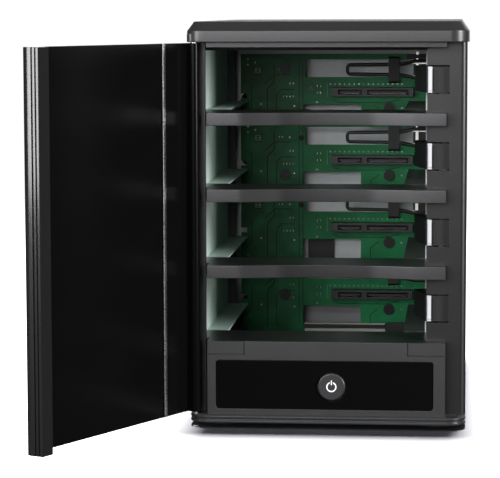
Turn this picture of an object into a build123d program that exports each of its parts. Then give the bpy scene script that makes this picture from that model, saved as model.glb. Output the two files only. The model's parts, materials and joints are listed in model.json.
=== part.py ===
"""Four-bay trayless drive enclosure with its front door open.

Millimetres. X to the right, Y to the back, Z up. The origin is the centre of the
underside of the base plate, and the rubber feet reach below it.
"""
from build123d import *
from math import cos, radians, sin
import os

# Case
case_w = 132.0          # cap and base, side to side
case_d = 220.0          # cap and base, front to back
case_h = 188.6          # underside of the base to the top of the cap
foot_h = 2.4
foot_r = 8.0
foot_in_x = 16.0        # foot centre inside the edge of the cap
foot_in_y = 18.0
peg_h = 1.6             # peg of a foot in the base plate
peg_r = 3.0
base_t = 3.4
cap_h = 9.6
label_w = 70.0          # recess for a rating label under the base
label_len = 110.0
label_r = 3.0
label_deep = 0.4
groove_h = 0.8          # groove round the edge of the base
groove_d = 0.5
cap_wall = 2.2
cap_roof = 0.8          # cap roof below the start of the bevel
cap_bevel_h = 4.4
cap_bevel_in = 3.3
corner_r = 9.0
skin_in = 1.0           # side panels inside the edge of the cap
side_t = 1.6
rear_in = 4.0           # rear panel inside the back edge of the cap
rear_t = 1.6
fit = 0.2               # between parts that are screwed or clipped together
run = 0.4               # between parts that move past each other

# Recess in the base for a finger under the door's free edge
finger_gap = 0.6
finger_rim = 4.0
finger_lip = 2.5
finger_back = 0.5
finger_deep = 1.9

# Front bezel
bezel_in = 4.0          # proud block behind the front edge of the base
block_left_in = 9.3     # proud block inside the edges of the cap
block_right_in = 10.6
column_in = 12.0        # latch column behind the front edge of the base
cage_in = 42.0          # drive cage behind the front edge of the base
block_floor_h = 2.5
bezel_wall = 2.5
skin_t = 1.5
post_gap = 1.3          # hinge post beside the proud block
header_h = 2.5
corner_block_w = 17.3
seam_w = 0.5
seam_d = 0.8

# Drive bays
bay_count = 4
bay_pitch = 35.9
bay_w = 106.2
bay_centre = -7.8
first_floor = 38.3      # height of the lowest bay floor
bar_t = 6.0
bar_flat = 14.2         # flat end of a cross bar, before its hollow front
bar_hollow = 5.5
ledge_w = 10.5
sheet_t = 1.0
cage_d = 106.0
flange_w = 4.0
ceiling_gap = 3.4       # cage top plate under the cap
cage_foot = 12.0        # cage floor plate above the base
plate_w = 6.0           # cage plates past the ejector rod
plate_gap = 14.0        # duct plate behind the backplane
air_hole_r = 3.0
air_hole_x = 8.0
air_hole_z = 11.0

# Backplane
board_in = 156.0        # board face behind the front edge of the base
board_t = 1.6
board_w = 99.0
board_left = -54.8
board_down = 16.7       # board below the lowest bay floor
board_h = 149.0
sata_w = 43.2
sata_h = 4.8
sata_d = 7.6
sata_x = 15.6
sata_up = 4.6           # connector centre above its bay floor
signal_slot_w = 12.4
power_slot_w = 21.6
slot_h = 2.4
slot_gap = 3.0
contact_pitch = 1.27
upper_window = (57.2, 9.4)
upper_window_left = -20.2
upper_window_up = 12.3
lower_window = (30.7, 10.8)
lower_window_left = -21.3
lower_window_down = 2.3
board_screw_r = 1.7
board_head_r = 2.9
board_head_h = 1.6
board_cross_w = 3.4
socket_x = (-20.5, 22.6)
notch = (3.2, 2.6)      # notches in the board's left edge
cross_slot = 0.7
left_screw_x = -31.0
left_screw_up = (20.2, 84.6, 141.3)     # above the board's lower edge
right_screw_x = 24.4
right_screw_down = 3.9  # below each bay floor

# Window, button and front board
window_in = (4.0, 5.5)  # window inside the ends of the proud block
window_z = (6.2, 29.5)
window_r = 1.6
window_lip = 2.0
lens_t = 2.0
lens_sunk = 0.3
button_x = 2.1
button_z = 17.2
button_r = 6.45
button_proud = 0.6
button_travel = 1.2
button_len = 14.0
button_flange = 1.2
button_flange_w = 1.4
button_stem_in = 2.4    # stem inside the edge of the cap of the button
button_edge_r = 0.6
icon_r = 2.4
icon_line = 0.55
icon_gap = 1.5
icon_bar = (0.5, 2.2)
icon_t = 0.15

# Latches and ejectors
latch_h = 12.2
latch_up = 9.2          # latch foot above the bay floor
latch_travel = 4.8
nose_reach = 5.2
pocket_out = (1.6, 11.4)     # latch pocket past the bay wall
pad_cover = 0.3         # pad past the edge of its pocket
pad_t = 1.8
arm_t = 2.4
arm_h = 8.0
arm_out = 2.5           # latch arm past the bay wall
lever_len = 24.0
rod_out = 4.2           # ejector rod past the bay wall
rod_r = 1.2
hub_r = 3.4
wire_r = 0.9
wire_in = 1.6           # ejector wire and rod in front of the backplane
wire_tip = 2.2
wire_low_up = 13.6
wire_high_up = 19.2
pad_x = (24.0, 29.8)
pad_z_up = (9.4, 23.2)
turn = 0.05             # radial clearance of a pin that turns

# Door
door_axis_side = 3.4    # hinge axis inside the edge of the cap
door_axis_in = 5.7      # hinge axis behind the door's outer face
door_open = 116.5       # angle from closed
door_t = 3.0
door_heel = 3.4
door_far_gap = 2.6      # closed door inside the edge of the cap
door_gap = 1.2
edge_in = 4.2           # free edge rail behind the hinge axis plane
edge_r = 4.0
edge_gap = 0.45
rail_w = 23.0
trim_w = 2.8
trim_h = 0.5
barrel_r = 2.6
pin_r = 1.2
pin_len = 12.0
pin_in_cap = 3.0
pin_boss_h = 4.0
pin_boss_wall = 2.0
magnet_r = 2.0
magnet_t = 1.6
magnet_down = 2.5       # magnets below the third bay floor

# Rear
fan_w = 92.0
fan_t = 25.0
fan_bore_r = 43.5
fan_down = 69.4         # fan axis below the cap
fan_hole = 82.5
fan_blades = 7
fan_hub_r = 18.0
fan_tip_gap = 1.2
motor_r = 17.0
shaft_r = 1.5
guard_wire_r = 0.8
main_z = 9.6           # top of the main board
main_t = 1.6
screw_r = 1.5
screw_hole_r = 1.6
screw_head_r = 2.8
screw_head_h = 1.8
fan_screw_len = 10.0    # in the fan frame
lip_w = 8.0             # rear lip of a side panel
lip_t = 3.0
lip_screw_in = 4.0
dc_x = -44.0
dc_body = (9.0, 11.0)
ether_x = -14.0
ether_body = (16.0, 13.5)
usb_x = 18.0
usb_w = 13.6
usb_h = 6.4
usb_pitch = 9.0
port_proud = 0.4

front = -case_d / 2
rear = case_d / 2
half_skin = case_w / 2 - skin_in
base_top = base_t
cap_bottom = case_h - cap_h
block_left = -case_w / 2 + block_left_in
block_right = case_w / 2 - block_right_in
window = (block_left + window_in[0], block_right - window_in[1], *window_z)
block_y = front + bezel_in
column_y = front + column_in
cage_y = front + cage_in
cage_back = cage_y + cage_d
board_y = front + board_in
board_bottom = first_floor - board_down
board_top = board_bottom + board_h
bay_left = bay_centre - bay_w / 2
bay_right = bay_centre + bay_w / 2
cage_top = cap_bottom - ceiling_gap
floor_z = base_top + cage_foot
skin_inner = half_skin - side_t - fit
rear_y = rear - rear_in - rear_t
fan_z = cap_bottom - fan_down
panel_screw_x = half_skin - side_t - lip_screw_in
panel_screw_z = (base_top + 16.2, (base_top + cap_bottom) / 2 - 3.6, cap_bottom - 13.4)
panel_front = column_y + 2 * skin_t
floors = [first_floor + i * bay_pitch for i in range(bay_count)]
magnet_z = floors[2] - magnet_down
return_x = bay_right + sheet_t
pocket_left = bay_right + pocket_out[0]
pocket_right = bay_right + pocket_out[1]
arm_x = bay_right + arm_out
rod_x = bay_right + rod_out
plate_left = min(bay_left - sheet_t, block_left)
plate_right = max(rod_x + plate_w, block_right)
wire_y = board_y - wire_in
door_axis_x = -case_w / 2 + door_axis_side
door_axis_y = front + door_axis_in


def block(x0, x1, y0, y1, z0, z1, mode=Mode.ADD):
    with Locations(((x0 + x1) / 2, (y0 + y1) / 2, (z0 + z1) / 2)):
        Box(x1 - x0, y1 - y0, z1 - z0, mode=mode)


def rod_y(x, z, y0, y1, radius, mode=Mode.ADD):
    with Locations(Location((x, (y0 + y1) / 2, z), (90, 0, 0))):
        Cylinder(radius, y1 - y0, mode=mode)


def rod_z(x, y, z0, z1, radius, mode=Mode.ADD):
    with Locations((x, y, (z0 + z1) / 2)):
        Cylinder(radius, z1 - z0, mode=mode)


def save(solid, name):
    solid.label = name
    export_step(solid, f"parts/{name}.step")


os.makedirs("parts", exist_ok=True)

# Base plate, with an edge groove and the recess under the door's free edge.
with BuildPart() as base_plate:
    with BuildSketch(Plane.XY):
        RectangleRounded(case_w - 2 * skin_in, case_d, corner_r)
    extrude(amount=base_t)
    with BuildSketch(Plane.XY.offset((base_t - groove_h) / 2)):
        RectangleRounded(case_w, case_d + 2, corner_r + 1)
        RectangleRounded(case_w - 2 * (skin_in + groove_d), case_d - 2 * groove_d, corner_r - groove_d,
                         mode=Mode.SUBTRACT)
    extrude(amount=groove_h, mode=Mode.SUBTRACT)
    block(block_right + finger_gap, half_skin - finger_rim, front + finger_lip, column_y - finger_back,
          base_top - finger_deep, base_top, mode=Mode.SUBTRACT)
    with BuildSketch(Plane.XY):
        RectangleRounded(label_w, label_len, label_r)
    extrude(amount=label_deep, mode=Mode.SUBTRACT)
    rod_z(door_axis_x, door_axis_y, 0, base_top, pin_r, mode=Mode.SUBTRACT)
    foot_spots = [(sx * (case_w / 2 - foot_in_x), sy * (case_d / 2 - foot_in_y))
                  for sx in (-1, 1) for sy in (-1, 1)]
    for fx, fy in foot_spots:
        rod_z(fx, fy, 0, peg_h, peg_r, mode=Mode.SUBTRACT)
save(base_plate.part, "base_plate")

with BuildPart() as rubber_feet:
    for fx, fy in foot_spots:
        rod_z(fx, fy, -foot_h, 0, foot_r)
        rod_z(fx, fy, 0, peg_h, peg_r)
save(rubber_feet.part, "rubber_feet")

# Top cap: a bevelled tray, open below.
with BuildPart() as top_cap:
    with BuildSketch(Plane.XY.offset(cap_bottom)):
        RectangleRounded(case_w, case_d, corner_r)
    extrude(amount=cap_h)
    chamfer(top_cap.edges().group_by(Axis.Z)[-1], length=cap_bevel_h, length2=cap_bevel_in)
    with BuildSketch(Plane.XY.offset(cap_bottom)):
        RectangleRounded(case_w - 2 * cap_wall, case_d - 2 * cap_wall, corner_r - cap_wall)
    extrude(amount=cap_h - cap_bevel_h - cap_roof, mode=Mode.SUBTRACT)
    rod_z(door_axis_x, door_axis_y, cap_bottom, cap_bottom + pin_boss_h, pin_r + pin_boss_wall)
    rod_z(door_axis_x, door_axis_y, cap_bottom - 1, cap_bottom + pin_in_cap, pin_r, mode=Mode.SUBTRACT)
save(top_cap.part, "top_cap")

# Side panels and rear panel.
for side, name in ((-1, "left_side_panel"), (1, "right_side_panel")):
    with BuildPart() as side_panel:
        inner, outer = sorted((side * (half_skin - side_t), side * half_skin))
        block(inner, outer, panel_front + fit, rear - rear_in, base_top, cap_bottom)
        lip = sorted((side * (half_skin - side_t - lip_w), side * (half_skin - side_t)))
        block(lip[0], lip[1], rear_y - lip_t, rear_y, base_top, cap_bottom)
        for z in panel_screw_z:
            rod_y(side * panel_screw_x, z, rear_y - lip_t, rear_y, screw_hole_r, mode=Mode.SUBTRACT)
    save(side_panel.part, name)

with BuildPart() as rear_panel:
    block(-skin_inner, skin_inner, rear_y, rear_y + rear_t, base_top, cap_bottom)
    rod_y(0, fan_z, rear_y, rear_y + rear_t, fan_bore_r, mode=Mode.SUBTRACT)
    for sx in (-1, 1):
        for sz in (-1, 1):
            rod_y(sx * fan_hole / 2, fan_z + sz * fan_hole / 2, rear_y, rear_y + rear_t, screw_hole_r,
                  mode=Mode.SUBTRACT)
    for sx in (-1, 1):
        for z in panel_screw_z:
            rod_y(sx * panel_screw_x, z, rear_y, rear_y + rear_t, screw_hole_r, mode=Mode.SUBTRACT)
    for x, (width, height) in ((dc_x, dc_body), (ether_x, ether_body)):
        block(x - width / 2 - fit, x + width / 2 + fit, rear_y, rear_y + rear_t, main_z - fit,
              main_z + height + fit, mode=Mode.SUBTRACT)
    for k in range(2):
        low = main_z + k * usb_pitch
        block(usb_x - usb_w / 2 - fit, usb_x + usb_w / 2 + fit, rear_y, rear_y + rear_t, low - fit,
              low + usb_h + fit, mode=Mode.SUBTRACT)
save(rear_panel.part, "rear_panel")


# Front bezel: lower block with the window opening, latch column, hinge post and header.
def latch_zone(floor):
    return floor + latch_up - run, floor + latch_up + latch_h + run


with BuildPart() as front_bezel:
    block(block_left, block_right, block_y, cage_y, base_top, first_floor)
    block(-skin_inner, block_left, column_y + 3, cage_y, base_top, first_floor)
    block(block_left, block_right, block_y, cage_y, cap_bottom - header_h, cap_bottom)
    block(-skin_inner, skin_inner, column_y + 3, cage_y, cap_bottom - header_h, cap_bottom)
    with BuildSketch(Plane.XY.offset(base_top)):
        with BuildLine():
            Polyline((return_x, column_y), (half_skin - 3, column_y))
            RadiusArc((half_skin - 3, column_y), (half_skin, column_y + 3), -3)
            Polyline((half_skin, column_y + 3), (skin_inner, column_y + 3), (skin_inner, cage_y),
                     (skin_inner - 1, cage_y), (skin_inner - 1, column_y + skin_t),
                     (return_x + 1, column_y + skin_t), (return_x + 1, cage_y),
                     (return_x, cage_y), (return_x, column_y))
        make_face()
    extrude(amount=cap_bottom - base_top)
    block(-half_skin, block_left - post_gap, column_y + 0.8, column_y + 3, base_top, cap_bottom)
    block(-skin_inner, -skin_inner + 1.2, column_y + 2, cage_y, base_top, cap_bottom)
    block(block_left + bezel_wall, block_right - bezel_wall, block_y + 4, cage_y,
          base_top + block_floor_h, first_floor - bezel_wall, mode=Mode.SUBTRACT)
    block(window[0] + window_lip, window[1] - window_lip, block_y, block_y + 5,
          window[2] + window_lip, window[3] - window_lip, mode=Mode.SUBTRACT)
    rod_y(button_x, button_z, block_y + lens_sunk + lens_t, block_y + 5,
          button_r + button_flange_w + run, mode=Mode.SUBTRACT)
    with BuildSketch(Plane.XZ.offset(-block_y)):
        with Locations(((window[0] + window[1]) / 2, (window[2] + window[3]) / 2)):
            RectangleRounded(window[1] - window[0], window[3] - window[2], window_r)
    extrude(amount=-(lens_t + lens_sunk), mode=Mode.SUBTRACT)
    for x0 in (block_left, block_right - corner_block_w):
        block(x0, x0 + corner_block_w, block_y, block_y + seam_d, first_floor - bar_t - seam_w,
              first_floor - bar_t, mode=Mode.SUBTRACT)
    for x0 in (block_left + corner_block_w, block_right - corner_block_w - seam_w):
        block(x0, x0 + seam_w, block_y, block_y + seam_d, first_floor - bar_t - seam_w, first_floor,
              mode=Mode.SUBTRACT)
    for floor in floors:
        low, high = latch_zone(floor)
        block(return_x - 1, pocket_right, column_y, column_y + skin_t, low - fit, high + fit,
              mode=Mode.SUBTRACT)
        block(return_x - 1, return_x + 1, column_y, cage_y, low, high, mode=Mode.SUBTRACT)
    for floor in floors:
        low, high = latch_zone(floor)
        for z0 in (low - 1.8, high + 0.8):
            block(return_x + 1, skin_inner - 1, column_y + skin_t, column_y + skin_t + 4, z0, z0 + 1.0)
save(front_bezel.part, "front_bezel")

# Cross bars between the bays, hollowed along the front.
for i in range(1, bay_count):
    with BuildPart() as cross_bar:
        with BuildSketch(Plane.XY.offset(floors[i] - bar_t)):
            with BuildLine():
                Line((block_left, block_y), (block_left + bar_flat, block_y))
                ThreePointArc((block_left + bar_flat, block_y),
                              ((block_left + block_right) / 2, block_y + bar_hollow),
                              (block_right - bar_flat, block_y))
                Polyline((block_right - bar_flat, block_y), (block_right, block_y),
                         (block_right, column_y), (return_x, column_y), (return_x, cage_y),
                         (-skin_inner + 1.2, cage_y), (-skin_inner + 1.2, column_y + 3),
                         (block_left, column_y + 3), (block_left, block_y))
            make_face()
        extrude(amount=bar_t)
    save(cross_bar.part, f"cross_bar_{i}")

# Window lens with the button hole.
with BuildPart() as window_lens:
    with BuildSketch(Plane.XZ.offset(-(block_y + lens_sunk))):
        with Locations(((window[0] + window[1]) / 2, (window[2] + window[3]) / 2)):
            RectangleRounded(window[1] - window[0] - fit, window[3] - window[2] - fit, window_r)
        with Locations((button_x, button_z)):
            Circle(button_r + run, mode=Mode.SUBTRACT)
    extrude(amount=-(lens_t - 0.01))
save(window_lens.part, "window_lens")

button_front = block_y - button_proud
button_back = button_front + button_len
flange_y = block_y + lens_sunk + lens_t + run
with BuildPart() as power_button:
    rod_y(button_x, button_z, button_front, button_back, button_r - button_stem_in)
    rod_y(button_x, button_z, button_front, flange_y + button_flange, button_r)
    fillet(power_button.faces().sort_by(Axis.Y)[0].edges(), radius=button_edge_r)
    rod_y(button_x, button_z, flange_y, flange_y + button_flange, button_r + button_flange_w)
save(power_button.part, "power_button")

with BuildPart() as power_icon:
    with BuildSketch(Plane.XZ.offset(-button_front)):
        with Locations((button_x, button_z)):
            Circle(icon_r)
            Circle(icon_r - icon_line, mode=Mode.SUBTRACT)
        with Locations((button_x, button_z + 2)):
            Rectangle(icon_gap, icon_r, mode=Mode.SUBTRACT)
            Rectangle(*icon_bar)
    extrude(amount=icon_t)
save(power_icon.part, "power_icon")

front_board_y = button_back + button_travel + 1.5
with BuildPart() as front_board:
    block(window[0] + 6.7, window[1] - 5.9, front_board_y, front_board_y + board_t,
          window[2] + 0.9, window[3] - 0.9)
save(front_board.part, "front_board")

with BuildPart() as power_switch:
    block(button_x - 3, button_x + 3, front_board_y - 1.0, front_board_y, button_z - 3, button_z + 3)
    rod_y(button_x, button_z, front_board_y - 1.3, front_board_y - 1.0, 1.2)
save(power_switch.part, "power_switch")

# Drive cage: two walls with ledges, a top plate and a floor plate.
with BuildPart() as cage_left_wall:
    block(bay_left - sheet_t, bay_left, cage_y, cage_back, floor_z, cage_top - sheet_t)
    block(bay_left, bay_left + flange_w, cage_back - sheet_t, cage_back, floor_z,
          cage_top - sheet_t)
    for floor in floors:
        block(bay_left, bay_left + ledge_w, cage_y, cage_back - 2, floor - sheet_t, floor)
save(cage_left_wall.part, "cage_left_wall")

with BuildPart() as cage_right_wall:
    block(bay_right, bay_right + sheet_t, cage_y, cage_back, floor_z, cage_top - sheet_t)
    for floor in floors:
        block(bay_right - ledge_w, bay_right, cage_y, cage_back - 2, floor - sheet_t, floor)
save(cage_right_wall.part, "cage_right_wall")

plate_back = board_y + board_t + plate_gap
with BuildPart() as cage_top_plate:
    block(plate_left, plate_right, cage_y, plate_back, cage_top - sheet_t, cage_top)
    rod_z(rod_x, wire_y, cage_top - sheet_t, cage_top, rod_r, mode=Mode.SUBTRACT)
save(cage_top_plate.part, "cage_top_plate")

with BuildPart() as cage_floor_plate:
    block(plate_left, plate_right, cage_y, plate_back, floor_z - sheet_t, floor_z)
    rod_z(rod_x, wire_y, floor_z - sheet_t, floor_z, rod_r, mode=Mode.SUBTRACT)
    block(socket_x[0] - 3.5, socket_x[1] + 3.4, board_y - 6, board_y + 8, floor_z - sheet_t, floor_z, mode=Mode.SUBTRACT)
save(cage_floor_plate.part, "cage_floor_plate")

# Duct plate behind the backplane, with air holes beside the board windows.
with BuildPart() as duct_plate:
    block(plate_left, plate_right, plate_back, plate_back + sheet_t, floor_z, cage_top)
    for k in range(4):
        for m in range(13):
            rod_y(bay_left + air_hole_x * (k + 1), floor_z + 10 + air_hole_z * m, plate_back,
                  plate_back + sheet_t, air_hole_r, mode=Mode.SUBTRACT)
save(duct_plate.part, "duct_plate")

# Backplane board, with its screws into the duct plate.
board_screws = [(left_screw_x, board_bottom + up) for up in left_screw_up]
board_screws += [(right_screw_x, floor - right_screw_down) for floor in floors]
with BuildPart() as backplane_board:
    block(board_left, board_left + board_w, board_y, board_y + board_t, board_bottom, board_top)
    for floor in floors:
        block(board_left, board_left + notch[0], board_y, board_y + board_t, floor + 1.0,
              floor + 1.0 + notch[1], mode=Mode.SUBTRACT)
        block(lower_window_left, lower_window_left + lower_window[0], board_y, board_y + board_t,
              floor - lower_window_down - lower_window[1], floor - lower_window_down,
              mode=Mode.SUBTRACT)
        block(upper_window_left, upper_window_left + upper_window[0], board_y, board_y + board_t,
              floor + upper_window_up, floor + upper_window_up + upper_window[1],
              mode=Mode.SUBTRACT)
    for x, z in board_screws:
        rod_y(x, z, board_y, board_y + board_t, board_screw_r, mode=Mode.SUBTRACT)
save(backplane_board.part, "backplane_board")

with BuildPart() as backplane_screws:
    for x, z in board_screws:
        rod_y(x, z, board_y - board_head_h, board_y, board_head_r)
        rod_y(x, z, board_y, plate_back, board_screw_r)
        with Locations((x, board_y - board_head_h, z)):
            Box(board_cross_w, board_head_h - 0.2, cross_slot, mode=Mode.SUBTRACT)
            Box(cross_slot, board_head_h - 0.2, board_cross_w, mode=Mode.SUBTRACT)
save(backplane_screws.part, "backplane_screws")

# Drive connectors and their contacts.
signal_x = sata_x - sata_w / 2 + 3.6 + signal_slot_w / 2
power_x = signal_x + signal_slot_w / 2 + slot_gap + power_slot_w / 2
with BuildPart() as sata_contacts:
    for floor in floors:
        for centre, count in ((signal_x, 7), (power_x, 15)):
            for k in range(count):
                x = centre + (k - (count - 1) / 2) * contact_pitch
                block(x - 0.3, x + 0.3, board_y - 5.4, board_y - 1.6, floor + sata_up - 1.0,
                      floor + sata_up - 0.7)
save(sata_contacts.part, "sata_contacts")

for i, floor in enumerate(floors):
    z = floor + sata_up
    with BuildPart() as sata_connector:
        block(sata_x - sata_w / 2, sata_x + sata_w / 2, board_y - sata_d, board_y,
              z - sata_h / 2, z + sata_h / 2)
        for centre, width in ((signal_x, signal_slot_w), (power_x, power_slot_w)):
            block(centre - width / 2, centre + width / 2, board_y - sata_d, board_y - 1.6,
                  z - slot_h / 2, z + slot_h / 2, mode=Mode.SUBTRACT)
            block(centre - width / 2 + 0.5, centre + width / 2 - 0.5, board_y - sata_d + 1.4,
                  board_y - 1.6, z - 0.7, z + 0.5)
    save(sata_connector.part, f"sata_connector_{bay_count - i}")

# Latches: pad behind the column skin, ramped nose in the bay, arm to the ejector.
pad_y = column_y + skin_t + fit
pad_right = pocket_right + pad_cover
arm_end = wire_y - lever_len + 1.5
for i, floor in enumerate(floors):
    low = floor + latch_up
    with BuildPart() as latch:
        with BuildSketch(Plane.XY.offset(low)):
            with BuildLine():
                Polyline((arm_x - 0.6, pad_y), (pad_right, pad_y), (pad_right, pad_y + pad_t),
                         (arm_x + arm_t, pad_y + pad_t), (arm_x + arm_t, cage_y),
                         (bay_right + 0.8, cage_y - 0.4), (bay_right - nose_reach, cage_y - 2.4),
                         (bay_right - nose_reach, cage_y - 4.0), (arm_x - 2.0, pad_y),
                         (arm_x - 0.6, pad_y))
            make_face()
        extrude(amount=latch_h)
        block(arm_x, arm_x + arm_t, pad_y, arm_end, low + (latch_h - arm_h) / 2,
              low + (latch_h + arm_h) / 2)
        block(pocket_left, pocket_left + 1.6, column_y + 0.3, pad_y, low + 1, low + latch_h - 1)
        block(pocket_left + 2.8, pocket_left + 3.3, column_y + 0.9, pad_y, low + 1, low + latch_h - 1)
    save(latch.part, f"latch_{bay_count - i}")

with BuildPart() as latch_springs:
    for floor in floors:
        mid = floor + latch_up + latch_h / 2
        x0, x1 = arm_x + arm_t, skin_inner - 1
        with Locations(Location(((x0 + x1) / 2, cage_y - 8, mid), (0, 90, 0))):
            Cylinder(2.8, x1 - x0)
            Cylinder(2.0, x1 - x0, mode=Mode.SUBTRACT)
save(latch_springs.part, "latch_springs")

# Ejectors: wire loop over the drive's back, hub with its lever, pad on the wire.
with BuildPart() as ejector_rod:
    rod_z(rod_x, wire_y, floor_z - sheet_t, cage_top, rod_r)
save(ejector_rod.part, "ejector_rod")

for i, floor in enumerate(floors):
    low, high = floor + wire_low_up, floor + wire_high_up
    hub_low, hub_high = floor + wire_low_up - 3.5, floor + wire_high_up + 3.5
    with BuildPart() as ejector_wire:
        with BuildLine() as loop:
            FilletPolyline((rod_x - hub_r + 1.2, wire_y, high + 1.6), (pad_x[1] + 8, wire_y, high + 1.6),
                           (pad_x[1], wire_y, high), (wire_tip, wire_y, high - 0.4),
                           (wire_tip, wire_y, low + 0.4), (pad_x[1], wire_y, low),
                           (pad_x[1] + 8, wire_y, low - 1.6), (rod_x - hub_r + 1.2, wire_y, low - 1.6),
                           radius=1.6)
        with BuildSketch(Plane.YZ.offset(rod_x - hub_r + 1.2)):
            with Locations((wire_y, high + 1.6)):
                Circle(wire_r)
        sweep(path=loop.line)
    save(ejector_wire.part, f"ejector_wire_{bay_count - i}")

    with BuildPart() as ejector_hub:
        rod_z(rod_x, wire_y, hub_low, hub_high, hub_r)
        block(arm_x + arm_t + run, rod_x + 3.1, wire_y - lever_len, wire_y, hub_low + 2, hub_high - 2)
        rod_z(rod_x, wire_y, hub_low, hub_high, rod_r + turn, mode=Mode.SUBTRACT)
        for z in (low - 1.6, high + 1.6):
            with Locations(Location((rod_x - hub_r + 0.6, wire_y, z), (0, 90, 0))):
                Cylinder(wire_r, 1.2, mode=Mode.SUBTRACT)
    save(ejector_hub.part, f"ejector_hub_{bay_count - i}")

    with BuildPart() as ejector_pad:
        block(pad_x[0], pad_x[1], wire_y - 2.4, wire_y + 1.2, floor + pad_z_up[0], floor + pad_z_up[1])
        fillet(ejector_pad.edges().filter_by(Axis.X), radius=1.1)
        add(ejector_wire.part, mode=Mode.SUBTRACT)
    save(ejector_pad.part, f"ejector_pad_{bay_count - i}")

# Main board, its socket for the backplane and the rear ports.
main_front = -20.0
with BuildPart() as main_board:
    block(-52, 44, main_front, rear_y - 0.5, main_z - main_t, main_z)
save(main_board.part, "main_board")

with BuildPart() as board_socket:
    block(socket_x[0], socket_x[1], board_y - 3, board_y + board_t + 3, main_z, board_bottom + 2.6)
    block(socket_x[0], socket_x[1], board_y - 0.01, board_y + board_t + 0.01, board_bottom, board_bottom + 2.6,
          mode=Mode.SUBTRACT)
save(board_socket.part, "board_socket")

port_back = rear_y + rear_t + port_proud
with BuildPart() as dc_inlet:
    block(dc_x - dc_body[0] / 2, dc_x + dc_body[0] / 2, port_back - 14, port_back, main_z,
          main_z + dc_body[1])
    rod_y(dc_x, main_z + 6, port_back - 9.5, port_back, 3.2, mode=Mode.SUBTRACT)
    rod_y(dc_x, main_z + 6, port_back - 9.6, port_back - 1, 1.05)
save(dc_inlet.part, "dc_inlet")

with BuildPart() as ethernet_port:
    block(ether_x - ether_body[0] / 2, ether_x + ether_body[0] / 2, port_back - 21, port_back, main_z,
          main_z + ether_body[1])
    block(ether_x - 6, ether_x + 6, port_back - 14, port_back, main_z + 3.4, main_z + 11.5,
          mode=Mode.SUBTRACT)
    block(ether_x - 3, ether_x + 3, port_back - 14, port_back, main_z + 1.6, main_z + 3.4,
          mode=Mode.SUBTRACT)
save(ethernet_port.part, "ethernet_port")

with BuildPart() as usb_ports:
    block(usb_x - usb_w / 2, usb_x + usb_w / 2, port_back - 17, port_back, main_z,
          main_z + usb_pitch + usb_h)
    block(usb_x - usb_w / 2, usb_x + usb_w / 2, rear_y - 0.6, port_back, main_z + usb_h - 0.1,
          main_z + usb_pitch + 0.1, mode=Mode.SUBTRACT)
    for k in range(2):
        low = main_z + k * usb_pitch
        block(usb_x - 6.1, usb_x + 6.1, port_back - 12, port_back, low + 0.7, low + 5.7,
              mode=Mode.SUBTRACT)
        block(usb_x - 5.6, usb_x + 5.6, port_back - 12.1, port_back - 1.2, low + 3.2, low + 5.1)
save(usb_ports.part, "usb_ports")

# Fan: frame with its motor seat, rotor and wire guard.
fan_back = rear_y
fan_front = fan_back - fan_t
with BuildPart() as fan_frame:
    block(-fan_w / 2, fan_w / 2, fan_front, fan_back, fan_z - fan_w / 2, fan_z + fan_w / 2)
    fillet(fan_frame.edges().filter_by(Axis.Y), radius=5)
    rod_y(0, fan_z, fan_front, fan_back, fan_bore_r, mode=Mode.SUBTRACT)
    for sx in (-1, 1):
        for sz in (-1, 1):
            rod_y(sx * fan_hole / 2, fan_z + sz * fan_hole / 2, fan_front, fan_back, screw_hole_r,
                  mode=Mode.SUBTRACT)
    rod_y(0, fan_z, fan_back - 4, fan_back, motor_r)
    for angle in range(45, 405, 90):
        with Locations(Location((0, fan_back - 1.6, fan_z), (0, angle, 0))):
            with Locations((motor_r + (fan_bore_r - motor_r) / 2, 0, 0)):
                Box(fan_bore_r - motor_r + 2, 3.2, 4)
    rod_y(0, fan_z, fan_back - 9, fan_back - 3, 4)
    rod_y(0, fan_z, fan_back - 9, fan_back - 2, shaft_r + turn, mode=Mode.SUBTRACT)
save(fan_frame.part, "fan_frame")

blade_r = fan_bore_r - fan_tip_gap
with BuildPart() as fan_rotor:
    rod_y(0, fan_z, fan_front + 2, fan_back - 5, fan_hub_r)
    rod_y(0, fan_z, fan_front + 4, fan_back - 5, fan_hub_r - 1.8, mode=Mode.SUBTRACT)
    rod_y(0, fan_z, fan_front + 3.5, fan_back - 2.4, shaft_r)
    for k in range(fan_blades):
        with Locations(Location((0, fan_front + 10, fan_z), (0, k * 360 / fan_blades, 0))):
            with Locations(Location(((fan_hub_r + blade_r) / 2 - 0.6, 0, 0), (38, 0, 0))):
                Box(blade_r - fan_hub_r - 0.2, 16, 1.4)
save(fan_rotor.part, "fan_rotor")

guard_y = rear_y + rear_t
guard_back = guard_y + 2 * guard_wire_r
guard_rings = (10.0, 18.0, 26.0, 34.0, 42.0)
tab_r = fan_hole * 2 ** 0.5 / 2
with BuildPart() as fan_guard:
    with BuildSketch(Plane.XZ.offset(-guard_y)):
        with Locations((0, fan_z)):
            for radius in guard_rings:
                with BuildSketch(mode=Mode.PRIVATE) as ring:
                    Circle(radius + guard_wire_r)
                    Circle(radius - guard_wire_r, mode=Mode.SUBTRACT)
                add(ring.sketch)
            for angle in range(45, 405, 90):
                with Locations(Location((0, 0, 0), (0, 0, angle))):
                    with Locations(((tab_r + guard_rings[0]) / 2, 0)):
                        Rectangle(tab_r - guard_rings[0], 2 * guard_wire_r)
                    with Locations((tab_r, 0)):
                        Circle(3.4)
            for sx in (-1, 1):
                for sz in (-1, 1):
                    with Locations((sx * fan_hole / 2, sz * fan_hole / 2)):
                        Circle(screw_hole_r, mode=Mode.SUBTRACT)
    extrude(amount=-2 * guard_wire_r)
save(fan_guard.part, "fan_guard")

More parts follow.
